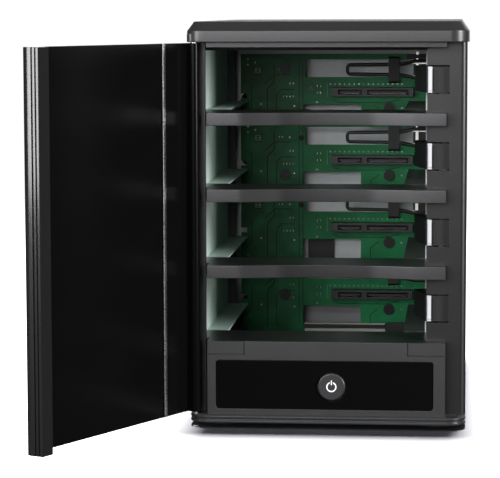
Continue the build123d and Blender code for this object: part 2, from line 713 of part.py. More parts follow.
with BuildPart() as rear_screws:
    for sx in (-1, 1):
        for sz in (-1, 1):
            x, z = sx * fan_hole / 2, fan_z + sz * fan_hole / 2
            rod_y(x, z, guard_back, guard_back + screw_head_h, screw_head_r)
            rod_y(x, z, rear_y - fan_screw_len, guard_back, screw_r)
    for sx in (-1, 1):
        for z in panel_screw_z:
            x = sx * panel_screw_x
            rod_y(x, z, rear_y + rear_t, rear_y + rear_t + screw_head_h, screw_head_r)
            rod_y(x, z, rear_y - lip_t, rear_y + rear_t, screw_r)
save(rear_screws.part, "rear_screws")


# Door: hinge rail with its barrel, panel, free edge rail, pins and magnets.
def door_plane(z):
    swing = radians(-door_open)
    return Plane(origin=(door_axis_x, door_axis_y, z), x_dir=(cos(swing), sin(swing), 0),
                 z_dir=(0, 0, 1))


outer_h = -door_axis_in
inner_h = outer_h + door_t
door_low = base_top + door_gap
door_high = cap_bottom - run
edge_low = base_top + edge_gap
door_len = case_w / 2 - door_far_gap - door_axis_x
panel_end = block_right + run + 0.1 - door_axis_x
edge_w = door_len - panel_end
with BuildPart() as door_hinge_rail:
    with BuildSketch(door_plane(door_low)):
        with BuildLine():
            Polyline((-door_heel + 1.5, outer_h), (rail_w, outer_h), (rail_w, inner_h + trim_h),
                     (rail_w - trim_w, inner_h + trim_h), (rail_w - trim_w, inner_h),
                     (-door_heel, inner_h), (-door_heel, outer_h + 1.5))
            RadiusArc((-door_heel, outer_h + 1.5), (-door_heel + 1.5, outer_h), -1.5)
        make_face()
        Circle(barrel_r)
        with Locations((0, inner_h / 2)):
            Rectangle(2 * barrel_r - 0.6, abs(inner_h))
    extrude(amount=door_high - door_low)
    rod_z(door_axis_x, door_axis_y, door_low, door_low + pin_len, pin_r + turn, mode=Mode.SUBTRACT)
    rod_z(door_axis_x, door_axis_y, door_high - pin_len, door_high, pin_r + turn,
          mode=Mode.SUBTRACT)
save(door_hinge_rail.part, "door_hinge_rail")

with BuildPart() as door_panel:
    with BuildSketch(door_plane(door_low)):
        with Locations(((rail_w + panel_end) / 2, (outer_h + inner_h) / 2)):
            Rectangle(panel_end - rail_w, door_t)
    extrude(amount=door_high - door_low)
save(door_panel.part, "door_panel")

with BuildPart() as door_edge_rail:
    with BuildSketch(door_plane(edge_low)):
        with BuildLine():
            Polyline((panel_end, outer_h), (door_len - edge_r, outer_h))
            RadiusArc((door_len - edge_r, outer_h), (door_len, outer_h + edge_r), -edge_r)
            Polyline((door_len, outer_h + edge_r), (door_len, 0.2), (door_len - 0.6, 0.2),
                     (door_len - 0.6, 0.9), (door_len, 0.9), (door_len, 2.2), (door_len - 0.6, 2.2),
                     (door_len - 0.6, 2.8), (door_len, 2.8), (door_len, edge_in),
                     (panel_end, edge_in), (panel_end, outer_h))
        make_face()
    extrude(amount=door_high - edge_low)
    with Locations(door_plane(magnet_z) * Location((panel_end + edge_w / 2, edge_in, 0), (90, 0, 0))):
        Cylinder(magnet_r, 2 * magnet_t, mode=Mode.SUBTRACT)
save(door_edge_rail.part, "door_edge_rail")

with BuildPart() as door_magnet:
    with Locations(door_plane(magnet_z) * Location((panel_end + edge_w / 2, edge_in - magnet_t / 2, 0),
                                                  (90, 0, 0))):
        Cylinder(magnet_r, magnet_t)
save(door_magnet.part, "door_magnet")

with BuildPart() as column_magnet:
    rod_y(door_axis_x + panel_end + edge_w / 2, magnet_z, column_y + skin_t, column_y + skin_t + 3, 2.5)
save(column_magnet.part, "column_magnet")

with BuildPart() as hinge_pins:
    rod_z(door_axis_x, door_axis_y, 0, base_top + door_gap + pin_len - 1, pin_r)
    rod_z(door_axis_x, door_axis_y, door_high - pin_len + 1, cap_bottom + pin_in_cap, pin_r)
save(hinge_pins.part, "hinge_pins")
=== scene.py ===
"""Looks of the four-bay drive enclosure: finishes, eased edges, fine pieces and the studio.

Metres. X to the right, Y to the back, Z up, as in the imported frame.
"""
import json
from math import cos, pi, radians, sin, tau

import bmesh
import bpy
from mathutils import Matrix, Vector

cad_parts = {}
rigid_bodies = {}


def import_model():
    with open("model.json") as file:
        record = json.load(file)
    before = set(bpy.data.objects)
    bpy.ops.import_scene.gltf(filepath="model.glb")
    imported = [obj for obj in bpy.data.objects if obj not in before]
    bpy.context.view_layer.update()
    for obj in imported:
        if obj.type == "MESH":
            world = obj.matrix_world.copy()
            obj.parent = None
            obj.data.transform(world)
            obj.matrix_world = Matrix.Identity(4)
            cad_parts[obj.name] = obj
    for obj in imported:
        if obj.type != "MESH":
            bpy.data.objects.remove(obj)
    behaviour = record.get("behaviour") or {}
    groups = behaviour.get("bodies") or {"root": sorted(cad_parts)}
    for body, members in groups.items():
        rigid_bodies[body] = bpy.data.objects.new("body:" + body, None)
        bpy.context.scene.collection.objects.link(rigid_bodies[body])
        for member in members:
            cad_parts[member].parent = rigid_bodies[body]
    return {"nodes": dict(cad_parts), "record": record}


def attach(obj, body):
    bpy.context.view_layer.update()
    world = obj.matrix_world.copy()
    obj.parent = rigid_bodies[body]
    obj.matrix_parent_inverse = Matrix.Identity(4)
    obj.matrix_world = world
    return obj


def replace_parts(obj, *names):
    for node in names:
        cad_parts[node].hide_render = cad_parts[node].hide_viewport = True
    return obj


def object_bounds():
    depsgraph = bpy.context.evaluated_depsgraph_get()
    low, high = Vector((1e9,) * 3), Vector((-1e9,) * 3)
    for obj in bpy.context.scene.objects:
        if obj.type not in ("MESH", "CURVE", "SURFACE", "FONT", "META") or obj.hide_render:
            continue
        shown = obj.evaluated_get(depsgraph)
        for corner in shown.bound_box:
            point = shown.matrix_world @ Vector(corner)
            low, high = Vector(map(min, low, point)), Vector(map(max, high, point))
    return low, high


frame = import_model()
cad_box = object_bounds()
floor_z = cad_box[0].z
MM = 0.001
BAYS = (1, 2, 3, 4)
FLOOR_RADIUS = 1.6
SHARP_EDGE = radians(32)

# The hinge axis of the door in plan, in millimetres, and the ways the open door runs and faces.
DOOR_AXIS = Vector((-62.6, -104.3))
DOOR_SWING = radians(-116.5)
DOOR_ALONG = Vector((cos(DOOR_SWING), sin(DOOR_SWING)))
DOOR_INWARD = Vector((-DOOR_ALONG.y, DOOR_ALONG.x))


# ---------------------------------------------------------------- node trees
class Socket:
    """A socket of a node tree that takes part in plain arithmetic."""

    def __init__(self, tree, link=None):
        self.tree = tree
        self.link = link

    def node(self, kind, inputs=None, output=0, **settings):
        """Adds a node: its settings first, then the values or links of its sockets."""
        made = self.tree.nodes.new(kind)
        for name, value in settings.items():
            setattr(made, name, value)
        for key, value in (inputs or {}).items():
            if isinstance(value, Socket):
                self.tree.links.new(value.link, made.inputs[key])
            else:
                made.inputs[key].default_value = value
        return Socket(self.tree, made.outputs[output]) if made.outputs else made

    def maths(self, operation, *values):
        return self.node("ShaderNodeMath", dict(enumerate(values)), operation=operation)

    def __add__(self, other):
        return self.maths("ADD", self, other)

    __radd__ = __add__

    def __sub__(self, other):
        return self.maths("SUBTRACT", self, other)

    def __rsub__(self, other):
        return self.maths("SUBTRACT", other, self)

    def __mul__(self, other):
        return self.maths("MULTIPLY", self, other)

    __rmul__ = __mul__

    def above(self, limit, soft):
        """0 below the limit and 1 above it, over a soft step."""
        step = {"Value": self, "From Min": limit - soft, "From Max": limit + soft}
        return self.node("ShaderNodeMapRange", step, interpolation_type="SMOOTHSTEP")


class Finish(Socket):
    """A surface finish: one Principled shader whose patterns read Object coordinates."""

    def __init__(self, name, **constants):
        self.material = bpy.data.materials.new(name)
        self.material.use_nodes = True
        super().__init__(self.material.node_tree)
        self.tree.nodes.clear()
        fixed = {key.replace("_", " ").title().replace("Ior", "IOR"): value
                 for key, value in constants.items()}
        self.shader = self.node("ShaderNodeBsdfPrincipled", fixed)
        self.node("ShaderNodeOutputMaterial", {"Surface": self.shader})
        self.place = self.node("ShaderNodeTexCoord", output="Object")

    def drive(self, name, value):
        socket = self.shader.link.node.inputs[name]
        if isinstance(value, Socket):
            self.tree.links.new(value.link, socket)
        else:
            socket.default_value = value

    def axis(self, name):
        return self.node("ShaderNodeSeparateXYZ", {0: self.place}, output=name)

    def noise(self, size, detail=2.0, stretch=(1, 1, 1)):
        """Noise whose features are about this size in metres, stretched by axis."""
        scale = tuple(1 / (size * s) for s in stretch)
        place = self.node("ShaderNodeMapping", {"Vector": self.place, "Scale": scale})
        return self.node("ShaderNodeTexNoise", {"Vector": place, "Scale": 1.0, "Detail": detail})

    def mix(self, mask, low, high):
        def rgb(value):
            return value if isinstance(value, Socket) else (*value, 1)
        return self.node("ShaderNodeMix", {0: mask, 6: rgb(low), 7: rgb(high)}, output=2,
                         data_type="RGBA")

    def bump(self, height, depth):
        """Raises the surface by a height pattern of 0 to 1 times a depth in metres."""
        raised = {"Height": height, "Distance": depth, "Strength": 1.0}
        self.drive("Normal", self.node("ShaderNodeBump", raised))


# ---------------------------------------------------------------- finishes
def grey(level):
    """A grey with a touch of blue."""
    return (level, level, level * 1.04)


def anodised_aluminium():
    """Dark satin extrusion: fine lines along its length and a little cloudiness."""
    made = Finish("anodised_aluminium")
    lines = made.noise(0.35 * MM, 3, stretch=(1, 1, 60))
    cloud = made.noise(22 * MM, 3)
    made.drive("Base Color", made.mix(lines * 0.6 + cloud * 0.4, grey(0.040), grey(0.064)))
    upward = made.node("ShaderNodeNewGeometry", output="Normal")
    top = made.node("ShaderNodeSeparateXYZ", {0: upward}, output="Z").above(0.75, 0.2)
    made.drive("Roughness", 0.24 + 0.12 * lines + 0.06 * cloud + 0.26 * top)
    made.drive("Metallic", 0.55 - 0.5 * top)
    made.bump(lines, 0.012 * MM)
    return made.material


def bezel_paint():
    """Dark grey paint with a fine sprayed texture, with painted shade on the header under the cap
    and in the recesses.
    """
    made = Finish("bezel_paint", metallic=0.6)
    speck = made.noise(0.30 * MM, 2)
    cloud = made.noise(15 * MM, 2)
    header_bottom, recess_front = 176.2 * MM, -102 * MM
    # Painted shade: the header under the cap and the recessed column behind the bars are darkened
    # in the colour.
    header_shade = made.axis("Z").above(header_bottom, 0.2 * MM)
    behind = made.axis("Y").above(recess_front, 0.5 * MM)
    painted_shade = header_shade.maths("MAXIMUM", header_shade * 0.7, behind)
    proud = made.mix(speck * 0.5 + cloud * 0.5, grey(0.055), grey(0.080))
    made.drive("Base Color", made.mix(painted_shade, proud, grey(0.034)))
    made.drive("Roughness", 0.26 + 0.12 * speck)
    made.bump(speck, 0.02 * MM)
    return made.material


def rail_gloss():
    """Polished black extrusion along the free edge of the door."""
    made = Finish("rail_gloss", specular_ior_level=0.15, coat_roughness=0.12)
    inward = (DOOR_INWARD.x * (made.axis("X") - DOOR_AXIS.x * MM)
              + DOOR_INWARD.y * (made.axis("Y") - DOOR_AXIS.y * MM))
    glossy_from, glossy_to = -2.2 * MM, 3.9 * MM
    ridges = inward.above(glossy_from, 0.5 * MM) - inward.above(glossy_to, 0.2 * MM)
    made.drive("Coat Weight", 0.04 + 0.9 * ridges)
    lines = made.noise(0.5 * MM, 2, stretch=(1, 1, 60))
    made.drive("Base Color", made.mix(lines, grey(0.010), grey(0.016)))
    made.drive("Roughness", 0.20 + 0.10 * lines)
    return made.material


def duct_sheet():
    """Pale galvanised sheet behind the air windows, darker near its foot."""
    made = Finish("duct_sheet", metallic=0.5)
    cloud = made.noise(6 * MM, 3)
    foot_top = 44 * MM
    low = 1 - made.axis("Z").above(foot_top, 6 * MM)
    sheet = made.mix(cloud, (0.52, 0.54, 0.55), (0.72, 0.74, 0.75))
    made.drive("Base Color", made.mix(low, sheet, (0.24, 0.25, 0.26)))
    made.drive("Roughness", 0.42 + 0.2 * cloud)
    return made.material


def clip_with_painted_glow():
    # Painted glow: the pale tone is also given out as light of its own, though the clip is no lamp.
    made = Finish("clip_with_painted_glow", roughness=0.3, metallic=0.3, emission_strength=0.25)
    cloud = made.noise(2 * MM, 2)
    tone = made.mix(cloud, (0.85, 0.82, 0.76), (0.95, 0.93, 0.88))
    made.drive("Base Color", tone)
    made.drive("Emission Color", tone)
    return made.material


def cage_paint():
    """Teal-grey coat, with painted shade on the right wall and rear flanges and a painted highlight
    on the front edges.
    """
    made = Finish("cage_paint")
    cloud = made.noise(8 * MM, 3)
    edge_back, flange_front = -67.4 * MM, 36.6 * MM
    # Painted highlight: the front edges of the walls are given a pale colour where light catches
    # them.
    edge = 1 - made.axis("Y").above(edge_back, 0.2 * MM)
    # Painted shade: the rear flanges are darkened in the colour.
    flange_shade = made.axis("Y").above(flange_front, 0.2 * MM)
    wall = made.mix(cloud, (0.56, 0.72, 0.65), (0.76, 0.92, 0.84))
    coat = made.mix(flange_shade, wall, (0.05, 0.06, 0.055))
    # Painted shade: the right wall is a darker copy of the same coat.
    right = made.axis("X").above(0, 5 * MM)
    shaded = made.mix(right, coat, (0.10, 0.12, 0.11))
    made.drive("Base Color", made.mix(edge, shaded, (0.70, 0.72, 0.70)))
    made.drive("Roughness", 0.42 + 0.2 * cloud)
    return made.material


def cage_shadow_coat():
    """The same coat, darkened with painted shade on the plate under the cap."""
    made = Finish("cage_shadow_coat", metallic=0.2)
    cloud = made.noise(10 * MM, 3)
    # Painted shade: the near-black colour stands for the shade on these plates.
    made.drive("Base Color", made.mix(cloud, (0.014, 0.018, 0.016), (0.024, 0.030, 0.027)))
    made.drive("Roughness", 0.5 + 0.2 * cloud)
    return made.material


def latch_moulding():
    """Black nose, a light rib beside it and a grey finger pad."""
    made = Finish("latch_moulding", specular_ior_level=0.25)
    grain = made.noise(0.25 * MM, 2)
    across = made.axis("X")
    face_back, rib_left, rib_right, soft = -95.0 * MM, 46.6 * MM, 48.6 * MM, 0.1 * MM
    face = 1 - made.axis("Y").above(face_back, 0.4 * MM)
    pad = across.above(rib_right, soft)
    rib = across.above(rib_left, soft) - pad
    dark = made.mix(grain, grey(0.008), grey(0.014))
    tinted = made.mix(pad * face, dark, grey(0.022))
    made.drive("Base Color", made.mix(rib * face, tinted, grey(0.62)))
    made.drive("Roughness", 0.36 + 0.2 * grain)
    made.bump(grain, 0.02 * MM)
    return made.material


def blackened_screw():
    made = Finish("blackened_screw", metallic=0.8)
    turning = made.noise(0.5 * MM, 2)
    made.drive("Base Color", made.mix(turning, grey(0.012), grey(0.03)))
    made.drive("Roughness", 0.3 + 0.2 * turning)
    return made.material


def track_green():
    """Mask over an etched gap: the board's darkest green."""
    made = Finish("track_green", roughness=0.4, specular_ior_level=0.15)
    grain = made.noise(0.5 * MM, 1)
    made.drive("Base Color", made.mix(grain, (0.002, 0.016, 0.006), (0.004, 0.026, 0.010)))
    return made.material


def connector_shell():
    """Dark connector moulding with a paler rim round its mouth."""
    made = Finish("connector_shell")
    grain = made.noise(0.25 * MM, 2)
    rim_back = 38.7 * MM
    rim = 1 - made.axis("Y").above(rim_back, 0.15 * MM)
    shell = made.mix(grain, grey(0.005), grey(0.010))
    made.drive("Base Color", made.mix(rim, shell, grey(0.022)))
    made.drive("Roughness", 0.32 + 0.2 * grain)
    return made.material


def door_lacquer():
    """Near-black lacquer on the door, smooth, with the faint wave of a rolled sheet."""
    made = Finish("door_lacquer", specular_ior_level=0.1)
    wave = made.noise(30 * MM, 1, stretch=(1, 1, 3))
    dust = made.noise(0.5 * MM, 1)
    made.drive("Base Color", made.mix(dust, grey(0.002), grey(0.004)))
    made.drive("Roughness", 0.16 + 0.08 * wave)
    made.bump(wave, 0.05 * MM)
    return made.material


def smoked_lens():
    made = Finish("smoked_lens", coat_weight=0.1, specular_ior_level=0.2)
    speck = made.noise(0.8 * MM, 2)
    made.drive("Base Color", made.mix(speck, grey(0.002), grey(0.004)))
    made.drive("Roughness", 0.10 + 0.05 * speck)
    return made.material


def zinc_sheet():
    """Zinc-plated steel: broad soft crystals and rolling lines."""
    made = Finish("zinc_sheet", metallic=0.9)
    cloud = made.noise(7 * MM, 3)
    rolling = made.noise(0.5 * MM, 2, stretch=(1, 40, 1))
    sheet = cloud * 0.5 + rolling * 0.5
    made.drive("Base Color", made.mix(sheet, (0.36, 0.38, 0.37), (0.55, 0.57, 0.56)))
    made.drive("Roughness", 0.32 + 0.22 * cloud)
    made.bump(rolling, 0.01 * MM)
    return made.material


def bright_steel():
    made = Finish("bright_steel", metallic=1.0)
    turning = made.noise(0.4 * MM, 2, stretch=(1, 6, 1))
    made.drive("Base Color", made.mix(turning, (0.52, 0.52, 0.53), (0.68, 0.68, 0.69)))
    made.drive("Roughness", 0.2 + 0.15 * turning)
    return made.material


def moulded_black():
    """Black moulded plastic with a fine spark-eroded grain."""
    made = Finish("moulded_black")
    grain = made.noise(0.22 * MM, 2)
    made.drive("Base Color", made.mix(grain, grey(0.010), grey(0.020)))
    made.drive("Roughness", 0.42 + 0.2 * grain)
    made.bump(grain, 0.02 * MM)
    return made.material


def solder_mask():
    """Green solder mask, lighter over copper and, as painted light, towards the right, with the
    weave faintly there.
    """
    made = Finish("solder_mask", specular_ior_level=0.15)
    copper = made.noise(11 * MM, 2).above(0.52, 0.25)
    warp = made.noise(0.5 * MM, 1, stretch=(1, 1, 3))
    weft = made.noise(0.5 * MM, 1, stretch=(3, 1, 1))
    weave = warp * 0.5 + weft * 0.5
    # Painted light: the mask turns lighter towards the right, where the left lies in the door's
    # shade; the copper patches are lighter of their own.
    lit_side_from = -14 * MM
    side = made.axis("X").above(lit_side_from, 26 * MM)
    board = made.mix(weave, (0.010, 0.080, 0.026), (0.015, 0.105, 0.036))
    copper_and_lit_green = made.mix(weave, (0.016, 0.260, 0.090), (0.026, 0.340, 0.125))
    made.drive("Base Color", made.mix(copper * 0.35 + side * 0.6, board, copper_and_lit_green))
    made.drive("Roughness", 0.28 + 0.15 * weave)
    made.bump(weave, 0.02 * MM)
    return made.material


def gold_plate():
    made = Finish("gold_plate", metallic=1.0)
    wear = made.noise(0.4 * MM, 2)
    made.drive("Base Color", made.mix(wear, (0.62, 0.45, 0.16), (0.80, 0.62, 0.28)))
    made.drive("Roughness", 0.2 + 0.2 * wear)
    return made.material


def solder_tin():
    made = Finish("solder_tin", metallic=0.9)
    grain = made.noise(0.3 * MM, 2)
    made.drive("Base Color", made.mix(grain, (0.20, 0.23, 0.21), (0.34, 0.37, 0.35)))
    made.drive("Roughness", 0.22 + 0.25 * grain)
    return made.material


def white_ink():
    # Painted glow: the ink gives out light of its own, though it is no lamp.
    made = Finish("white_ink", roughness=0.6, emission_strength=0.45)
    speck = made.noise(0.2 * MM, 2)
    made.drive("Base Color", made.mix(speck, grey(0.82), grey(0.9)))
    made.drive("Emission Color", made.mix(speck, grey(0.8), grey(0.9)))
    return made.material


def track_legend():
    """Thin legend print, faded into the mask."""
    made = Finish("track_legend", roughness=0.6)
    speck = made.noise(0.2 * MM, 2)
    made.drive("Base Color", made.mix(speck, (0.16, 0.24, 0.19), (0.30, 0.38, 0.33)))
    return made.material


def white_nylon():
    made = Finish("white_nylon")
    grain = made.noise(0.4 * MM, 2)
    made.drive("Base Color", made.mix(grain, (0.62, 0.61, 0.56), (0.70, 0.69, 0.64)))
    made.drive("Roughness", 0.4 + 0.15 * grain)
    return made.material


def foot_rubber():
    made = Finish("foot_rubber")
    grain = made.noise(0.5 * MM, 3)
    made.drive("Base Color", made.mix(grain, grey(0.012), grey(0.024)))
    made.drive("Roughness", 0.7 + 0.2 * grain)
    made.bump(grain, 0.04 * MM)
    return made.material


def wire_coat():
    made = Finish("wire_coat")
    grain = made.noise(0.6 * MM, 2)
    made.drive("Base Color", made.mix(grain, grey(0.008), grey(0.016)))
    made.drive("Roughness", 0.25 + 0.15 * grain)
    return made.material


finishes = [anodised_aluminium, bezel_paint, rail_gloss, duct_sheet, clip_with_painted_glow, cage_paint,
            cage_shadow_coat, latch_moulding, blackened_screw, track_green, connector_shell,
            door_lacquer, smoked_lens, zinc_sheet, bright_steel, moulded_black, solder_mask,
            gold_plate, solder_tin, white_ink, track_legend, white_nylon, foot_rubber, wire_coat]
FINISH = {make.__name__: make() for make in finishes}
SLOT_FINISH = {
    "case_aluminium": "anodised_aluminium", "bezel_plastic": "bezel_paint",
    "lens_plastic": "smoked_lens", "white_ink": "white_ink", "zinc_sheet": "zinc_sheet",
    "board_green": "solder_mask", "black_plastic": "moulded_black", "black_wire": "wire_coat",
    "steel": "bright_steel", "contact_gold": "gold_plate", "white_plastic": "white_nylon",
    "rubber": "foot_rubber",
}
NODE_FINISH = {"door_panel": "door_lacquer", "door_magnet": "rail_gloss",
               "door_hinge_rail": "door_lacquer", "door_edge_rail": "rail_gloss",
               "duct_plate": "duct_sheet",
               "cage_left_wall": "cage_paint", "cage_right_wall": "cage_paint",
               "cage_top_plate": "cage_shadow_coat", "cage_floor_plate": "cage_shadow_coat",
               "backplane_screws": "blackened_screw", "sata_contacts": "solder_tin",
               **{f"latch_{i}": "latch_moulding" for i in BAYS},
               **{f"sata_connector_{i}": "connector_shell" for i in BAYS}}
NODE_SLOT = {part["node"]: part["material_slot"] for part in frame["record"]["subparts"]}
NODE_BODY = {node: body for body, nodes in frame["record"]["behaviour"]["bodies"].items()
             for node in nodes}


# ---------------------------------------------------------------- pieces
def finish_of(node):
    """The finish named for the node itself, or else the one of its slot."""
    return NODE_FINISH.get(node, SLOT_FINISH[NODE_SLOT[node]])


def add_piece(name, mesh, body, finish):
    """A finished mesh becomes a piece that rides on a body."""
    piece = bpy.data.objects.new(name, mesh)
    bpy.context.scene.collection.objects.link(piece)
    mesh.materials.clear()
    mesh.materials.append(FINISH[finish])
    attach(piece, body)
    return piece


def mesh_from(bm, name):
    mesh = bpy.data.meshes.new(name)
    bm.to_mesh(mesh)
    bm.free()
    return mesh


def eased(node, width):
    """The node's own shape with its sharp edges rounded, standing for the node."""
    bm = bmesh.new()
    bm.from_mesh(frame["nodes"][node].data)
    bmesh.ops.remove_doubles(bm, verts=bm.verts, dist=0.002 * MM)
    bmesh.ops.dissolve_limit(bm, angle_limit=radians(0.5), verts=bm.verts, edges=bm.edges)
    for face in bm.faces:
        face.smooth = any(edge.is_manifold and edge.calc_face_angle() < SHARP_EDGE
                          for edge in face.edges)
    piece = add_piece(node + "_eased", mesh_from(bm, node), NODE_BODY[node], finish_of(node))
    edge = piece.modifiers.new("eased edges", "BEVEL")
    edge.width = width
    edge.segments = 2
    edge.limit_method = "ANGLE"
    edge.angle_limit = SHARP_EDGE
    edge.use_clamp_overlap = False
    shading = piece.modifiers.new("flat faces stay flat", "WEIGHTED_NORMAL")
    shading.keep_sharp = True
    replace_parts(piece, node)


for node, thing in frame["nodes"].items():
    thing.data.materials.clear()
    thing.data.materials.append(FINISH[finish_of(node)])

# How far each node's sharp edges are rounded, in millimetres.
EASED = {"top_cap": 0.35, "base_plate": 0.3, "left_side_panel": 0.2, "right_side_panel": 0.2,
         "front_bezel": 0.14, "window_lens": 0.15, "rear_panel": 0.12, "door_panel": 0.15,
         "door_hinge_rail": 0.15, "door_edge_rail": 0.15, "cage_left_wall": 0.2,
         "cage_right_wall": 0.2, "board_socket": 0.3, "rubber_feet": 0.6,
         **{f"cross_bar_{i}": 0.3 for i in (1, 2, 3)},
         **{f"latch_{i}": 0.15 for i in BAYS}, **{f"sata_connector_{i}": 0.15 for i in BAYS}}
for node, width in EASED.items():
    eased(node, width * MM)


# ---------------------------------------------------------------- fine pieces
# Millimetres: the front of the backplane, the depth that its fine pieces reach into it, and the
# floor of each bay.
BOARD_Y = 46.0
IN_BOARD = BOARD_Y + 0.02
FLOORS = {4: 38.3, 3: 74.2, 2: 110.1, 1: 146.0}


def brick(bm, x, y, z):
    """A box between pairs of limits in millimetres."""
    corners = [bm.verts.new((a * MM, b * MM, c * MM)) for a in x for b in y for c in z]
    for loop in ((0, 1, 3, 2), (4, 6, 7, 5), (0, 4, 5, 1),
                 (2, 3, 7, 6), (0, 2, 6, 4), (1, 5, 7, 3)):
        bm.faces.new([corners[k] for k in loop])


def band(bm, path, width, y):
    """A flat band along a path of (x, z) points, mitred at its bends."""
    points = [Vector(point) for point in path]
    rows = []
    for k, point in enumerate(points):
        ahead = (points[min(k + 1, len(points) - 1)] - point).normalized()
        behind = (point - points[max(k - 1, 0)]).normalized()
        along = (ahead + behind).normalized()
        reach = width / 2 / max(along.dot(ahead if ahead.length else behind), 0.5)
        side = Vector((-along.y, along.x)) * reach
        rows.append([bm.verts.new(((point.x + s * side.x) * MM, depth * MM,
                                   (point.y + s * side.y) * MM))
                     for s in (1, -1) for depth in y])
    for near, far in zip(rows, rows[1:]):
        for a, b in ((0, 1), (1, 3), (3, 2), (2, 0)):
            bm.faces.new((near[a], near[b], far[b], far[a]))
    for row, order in ((rows[0], (0, 2, 3, 1)), (rows[-1], (0, 1, 3, 2))):
        bm.faces.new([row[k] for k in order])


def ring(bm, centre, radius, wire, turns=64, sides=10):
    """A round wire ring about the Y axis."""
    rows = []
    for k in range(turns):
        around = tau * k / turns
        rows.append([bm.verts.new(((centre[0] + (radius + wire * cos(t)) * cos(around)) * MM,
                                   (centre[1] + wire * sin(t)) * MM,
                                   (centre[2] + (radius + wire * cos(t)) * sin(around)) * MM))
                     for t in (tau * j / sides for j in range(sides))])
    for k, row in enumerate(rows):
        far = rows[(k + 1) % turns]
        for j in range(sides):
            bm.faces.new((row[j], row[(j + 1) % sides], far[(j + 1) % sides], far[j]))


def piece_from(name, bm, body, finish):
    bmesh.ops.recalc_face_normals(bm, faces=bm.faces)
    return add_piece(name, mesh_from(bm, name), body, finish)


def studs(name, spots, radius, height, finish, sides=12):
    """Round studs on the case, centred on their spots, grown by a node tree and baked."""
    tree = bpy.data.node_groups.new(name, "GeometryNodeTree")
    for label, kind in (("Spots", "Geometry"), ("Radius", "Float"), ("Height", "Float"),
                        ("Sides", "Int")):
        tree.interface.new_socket(label, in_out="INPUT", socket_type="NodeSocket" + kind)
    tree.interface.new_socket("Studs", in_out="OUTPUT", socket_type="NodeSocketGeometry")
    root = Socket(tree)
    inputs = tree.nodes.new("NodeGroupInput").outputs
    given = {label: Socket(tree, inputs[label]) for label in ("Spots", "Radius", "Height", "Sides")}
    shape = {"Vertices": given["Sides"], "Radius": given["Radius"], "Depth": given["Height"]}
    stud = root.node("GeometryNodeMeshCylinder", shape)
    laid = {"Points": given["Spots"], "Instance": stud, "Rotation": (pi / 2, 0, 0)}
    placed = root.node("GeometryNodeInstanceOnPoints", laid)
    real = root.node("GeometryNodeRealizeInstances", {"Geometry": placed})
    coated = root.node("GeometryNodeSetMaterial", {"Geometry": real, "Material": FINISH[finish]})
    root.node("NodeGroupOutput", {"Studs": coated})
    points = bpy.data.meshes.new(name + "_spots")
    points.from_pydata([(x * MM, y * MM, z * MM) for x, y, z in spots], [], [])
    holder = bpy.data.objects.new(name + "_holder", points)
    bpy.context.scene.collection.objects.link(holder)
    grower = holder.modifiers.new("grown", "NODES")
    grower.node_group = tree
    values = {"Radius": radius * MM, "Height": height * MM, "Sides": sides}
    for item in tree.interface.items_tree:
        if item.name in values:
            grower[item.identifier] = values[item.name]
    holder.update_tag()
    bpy.context.view_layer.update()
    grown = holder.evaluated_get(bpy.context.evaluated_depsgraph_get())
    baked = bpy.data.meshes.new_from_object(grown)
    bpy.data.objects.remove(holder)
    add_piece(name, baked, "case", finish)


# Each track: its width, then its path of (x, z) points, with z above the floor of a bay.
TRACKS = (
    (0.5, ((-40.6, -14), (-40.6, 6), (-37.0, 9.6), (-37.0, 19))),
    (0.4, ((-35.7, -14), (-35.7, 3), (-33.0, 5.7), (-26.0, 5.7))),
    (0.4, ((-42.0, 8.7), (-36.6, 13.7), (-28.0, 13.7))),
    (0.35, ((-47.6, 14), (-43.6, 14), (-43.6, 18))),
    (0.4, ((-52.6, -8), (-49.0, -4.4), (-49.0, 8))),
    (0.35, ((-6.0, 0.6), (-2.5, -1.2), (22.0, -1.2), (30.0, 0.4))),
    (0.35, ((14.5, -14), (14.5, -7), (19.0, -3.5))),
)
BUSES = (0.35, (-23.6, -21.6), (26, 168))
CHIPS = ((-45.6, 15.8), (-31.0, 2.0), (-27.6, 2.0), (-27.6, 9.0), (-13.0, 4.0), (-13.0, 7.6),
         (-33.4, 16.4))
HOLES = ((-51.0, 24.8), (-51.0, 21.9), (-51.0, 18.9), (-47.1, 20.1), (-28.6, 16.2), (-26.2, -3.0),
         (-44.0, -2.0), (31.0, -4.0), (-14.0, -1.0))
# Each strip of the guide: its sides, then its ends above the floor of a bay.
STRIPS = (((38.3, 39.8), 13.4, 19.3), ((38.4, 39.8), 25.6, 29.5), ((38.4, 39.4), 21.2, 22.2),
          ((36.4, 43.8), 19.3, 20.3), ((34.8, 37.9), 12.2, 13.2))
CARRIER_TOP, STRIP_TOP = 170.5, 170.2


def backplane_tracks():
    """Etched gaps between the copper areas of the backplane."""
    bm = bmesh.new()
    face = (BOARD_Y - 0.05, IN_BOARD)
    for floor in FLOORS.values():
        for width, path in TRACKS:
            band(bm, [(x, floor + z) for x, z in path], width, face)
    width, places, (low, high) = BUSES
    for x in places:
        band(bm, [(x, low), (x, high)], width, face)
    piece_from("backplane_tracks", bm, "case", "track_green")


def backplane_legends():
    """Printed outlines round the parts of the board, with no lettering."""
    bm = bmesh.new()
    face = (BOARD_Y - 0.04, IN_BOARD)
    for floor in FLOORS.values():
        low, high, left, right = floor + 14.6, floor + 17.0, -47.0, -44.2
        outline = [(left, low), (right, low), (right, high), (left, high), (left, low)]
        band(bm, outline, 0.16, face)
        low, high, left, right = floor + 1.6, floor + 9.3, -8.6, 38.4
        for x in (left, right):
            band(bm, [(x, low), (x, high)], 0.18, face)
    band(bm, [(-18.4, 151.4), (-16.2, 151.4), (-17.3, 153.2), (-18.4, 151.4)], 0.2, face)
    piece_from("backplane_legends", bm, "case", "track_legend")


